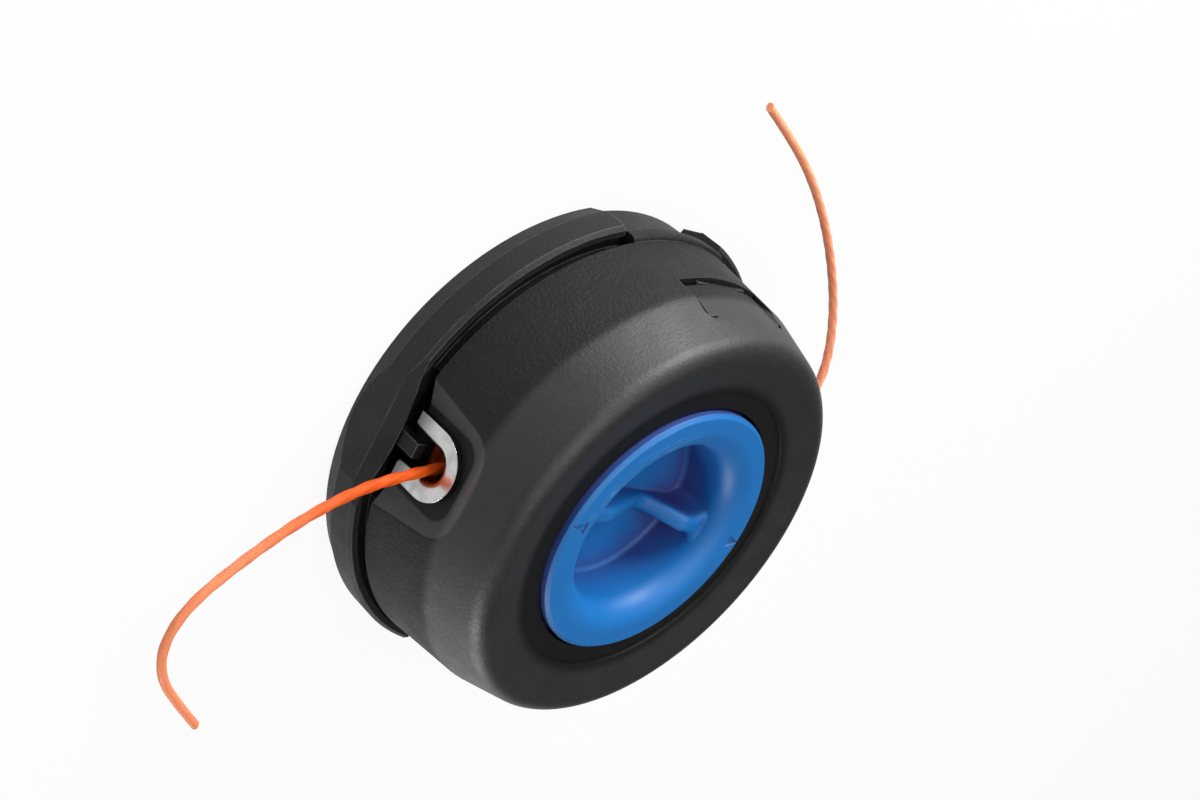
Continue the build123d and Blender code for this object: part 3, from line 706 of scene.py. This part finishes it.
def wound_line(name, replaced):
    """Add the line wound in one chamber of the spool, layer on layer from the core outwards."""
    low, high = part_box(replaced)
    rows = spread(low.z + LINE_RADIUS, high.z - LINE_RADIUS, WINDING_ROWS)
    layers = spread(WINDING_INNER + LINE_RADIUS, high.x - LINE_RADIUS, WINDING_LAYERS)
    turns = []
    for index, radius in enumerate(layers):
        turns += [(radius, height) for height in (reversed(rows) if index % 2 else rows)]
    points = []
    for index, (radius, height) in enumerate(turns):
        next_radius, next_height = turns[min(index + 1, len(turns) - 1)]
        for step in range(WINDING_STEPS):
            share = max(0.0, (step / WINDING_STEPS - 1) / WINDING_CHANGE + 1)
            around = math.tau * step / WINDING_STEPS
            reach = radius + share * (next_radius - radius)
            rise = height + share * (next_height - height)
            points += wire_ring(around, reach, rise, LINE_RADIUS, WINDING_SIDES)
    faces = tube_faces(len(turns) * WINDING_STEPS, WINDING_SIDES)
    add_piece(name, points, faces, line_orange, "spool", replaced)


def coil_spring(name, replaced):
    """Add the return spring: a coil that fills the height of the spring's part."""
    low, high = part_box(replaced)
    points = []
    for share in spread(0.0, 1.0, SPRING_STEPS):
        around = math.tau * SPRING_TURNS * share
        height = low.z + SPRING_WIRE + share * (high.z - low.z - 2 * SPRING_WIRE)
        points += wire_ring(around, high.x - SPRING_WIRE, height, SPRING_WIRE, SPRING_SIDES)
    faces = tube_faces(SPRING_STEPS, SPRING_SIDES)
    piece = add_piece(name, points, faces, zinc_steel, "spool", replaced)
    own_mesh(piece)


def add_camera():
    """Add the camera at the photo's viewing angle."""
    data = bpy.data.cameras.new("camera")
    data.lens = CAMERA_LENS
    data.clip_start = CAMERA_NEAR
    data.clip_end = CAMERA_FAR
    camera = bpy.data.objects.new("camera", data)
    camera.rotation_mode = "QUATERNION"
    camera.location = CAMERA_PLACE
    upright = (CAMERA_TARGET - CAMERA_PLACE).to_track_quat("-Z", "Y")
    camera.rotation_quaternion = upright @ Quaternion((0, 0, 1), CAMERA_ROLL)
    bpy.context.scene.collection.objects.link(camera)
    bpy.context.scene.camera = camera


def floor_material():
    """Return the floor's material, which glows almost white in the picture and in reflections."""
    material, shader = new_material("floor")
    feed(material, grey(FLOOR_LEVEL), shader.inputs["Base Color"])
    feed(material, FLOOR_ROUGHNESS, shader.inputs["Roughness"])
    rays = add_node(material, "ShaderNodeLightPath").outputs
    mirrored = math_node(material, "MAXIMUM", rays["Is Glossy Ray"], rays["Is Transmission Ray"])
    shown = math_node(material, "MAXIMUM", rays["Is Camera Ray"], mirrored)
    share = product(material, shown, FLOOR_GLOW)
    glow = add_node(material, "ShaderNodeEmission")
    mix = add_node(material, "ShaderNodeMixShader", {0: share, 1: shader.outputs[0], 2: glow.outputs[0]})
    feed(material, mix.outputs[0], material.node_tree.nodes["Material Output"].inputs["Surface"])
    return material


def add_floor():
    """Add the plain pale floor, which keeps a faint shadow of the object."""
    mesh = bpy.data.meshes.new("floor")
    half = FLOOR_SIZE / 2
    corners = [(-half, -half, 0), (half, -half, 0), (half, half, 0), (-half, half, 0)]
    mesh.from_pydata(corners, [], [(0, 1, 2, 3)])
    mesh.materials.append(floor_material())
    floor = bpy.data.objects.new("floor", mesh)
    bpy.context.scene.collection.objects.link(floor)


def add_lamp(name, place, size, power):
    """Add a soft square lamp that looks at the object."""
    data = bpy.data.lights.new(name, "AREA")
    data.size = size
    data.energy = power
    lamp = bpy.data.objects.new(name, data)
    lamp.location = place
    lamp.rotation_mode = "QUATERNION"
    lamp.rotation_quaternion = (LAMP_TARGET - place).to_track_quat("-Z", "Y")
    bpy.context.scene.collection.objects.link(lamp)


def add_world():
    """Add an even white sky."""
    world = bpy.data.worlds.new("world")
    world.use_nodes = True
    sky = world.node_tree.nodes["Background"]
    sky.inputs["Color"].default_value = grey(1.0)
    sky.inputs["Strength"].default_value = SKY_STRENGTH
    bpy.context.scene.world = world


twisted_line("trimmer_line_1", LINE_ROUTE_1, 1, LINE_LENGTH_1, line_orange, "line_end_1")
twisted_line("trimmer_line_2", LINE_ROUTE_2, -1, LINE_LENGTH_2, line_bleached_painted_light, "line_end_2")
wound_line("wound_line_lower", "winding_lower")
wound_line("wound_line_upper", "winding_upper")
coil_spring("coil_spring", "return_spring")

add_camera()
add_floor()
add_world()
for lamp_settings in LAMPS:
    add_lamp(*lamp_settings)

bpy.context.scene.view_settings.view_transform = "Standard"
